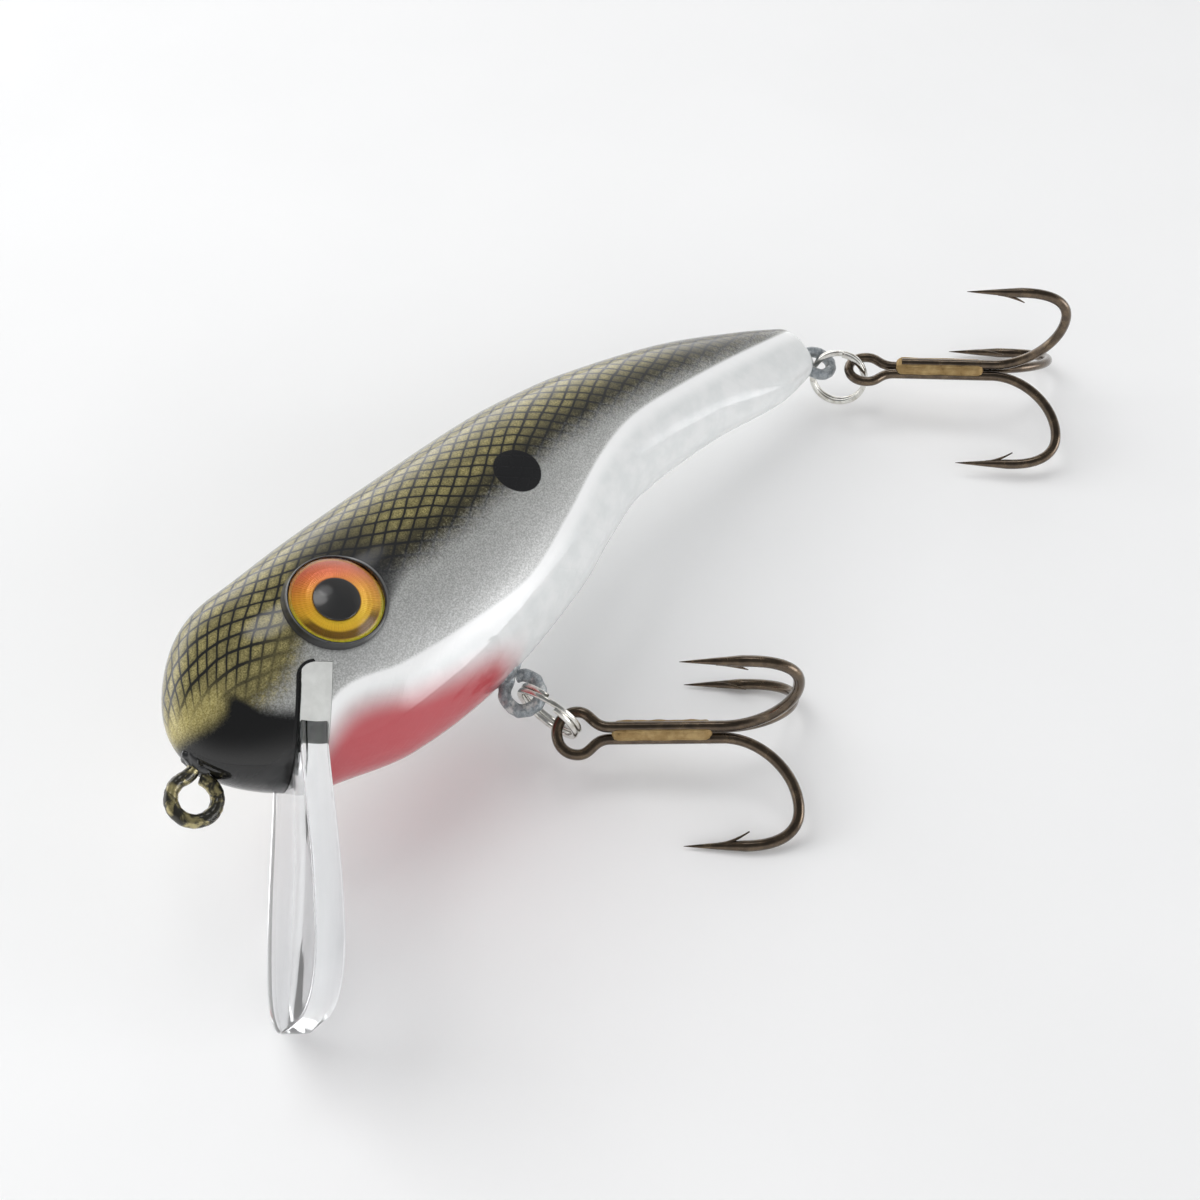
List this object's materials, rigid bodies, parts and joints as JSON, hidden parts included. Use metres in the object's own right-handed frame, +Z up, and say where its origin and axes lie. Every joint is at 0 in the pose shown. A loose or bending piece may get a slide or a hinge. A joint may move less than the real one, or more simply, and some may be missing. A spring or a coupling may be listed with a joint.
{
  "type": "crankbait lure",
  "caption": "Deep-bodied diving crankbait with a clear raked lip, domed eyes, a front line tie, and treble hooks swinging on split rings at belly and tail.",
  "frame": {"origin": "on the table, under the centre of the lure's bounding box as it lies on its right side", "axes": "+Z up, +X from the nose towards the tail, +Y towards the lure's back"},
  "size_m": [0.2164, 0.095, 0.0467],
  "materials": {
    "paint": "clear-coated airbrushed paint: olive-gold scaled back, silver side, white belly, red throat",
    "polycarbonate": "clear polycarbonate with polished edges",
    "epoxy": "clear cured epoxy",
    "screw_steel": "stainless wire under a dull grey epoxy coat",
    "painted_wire": "stainless wire oversprayed black and olive gold, clear-coated",
    "nickel": "bright nickel-plated spring wire",
    "bronze": "bronze-lacquered high carbon steel",
    "brazing": "matt brass brazing",
    "lead": "dull cast lead",
    "foil": "orange to gold reflective foil",
    "black": "gloss black",
    "lens": "clear domed resin"
  },
  "bodies": {
    "lure_body": {"diving_lip": "polycarbonate", "line_tie": "painted_wire", "belly_screw_eye": "screw_steel", "tail_screw_eye": "screw_steel", "body": "paint", "lip_slot_epoxy": "epoxy", "ballast_weight": "lead", "ballast_plug": "paint", "left_eye_foil": "foil", "left_eye_pupil": "black", "left_eye_dome": "lens", "right_eye_foil": "foil", "right_eye_pupil": "black", "right_eye_dome": "lens"},
    "belly_ring": {"belly_split_ring": "nickel"},
    "belly_hook": {"belly_treble_double_hook": "bronze", "belly_treble_third_hook": "bronze", "belly_treble_brazing": "brazing"},
    "tail_ring": {"tail_split_ring": "nickel"},
    "tail_hook": {"tail_treble_double_hook": "bronze", "tail_treble_third_hook": "bronze", "tail_treble_brazing": "brazing"}
  },
  "joints": [
    {"name": "belly_ring_swing", "type": "hinge", "parent": "lure_body", "child": "belly_ring", "pos_m": [-0.03879, 0.00156, 0.01484], "axis": [-0.2447, -0.3918, 0.8869], "range_deg": [-40, 20]},
    {"name": "belly_hook_swing", "type": "hinge", "parent": "belly_ring", "child": "belly_hook", "pos_m": [-0.03629, -0.00874, 0.01039], "axis": [-0.4602, -0.4122, 0.7863], "range_deg": [-20, 40]},
    {"name": "tail_ring_swing", "type": "hinge", "parent": "lure_body", "child": "tail_ring", "pos_m": [0.0653, 0.02531, 0.0103], "axis": [0.1841, -0.2457, 0.9517], "range_deg": [-30, 30]},
    {"name": "tail_hook_swing", "type": "hinge", "parent": "tail_ring", "child": "tail_hook", "pos_m": [0.0704, 0.01691, 0.0108], "axis": [0.0092, 0.0535, 0.9985], "range_deg": [-30, 30]}
  ]
}
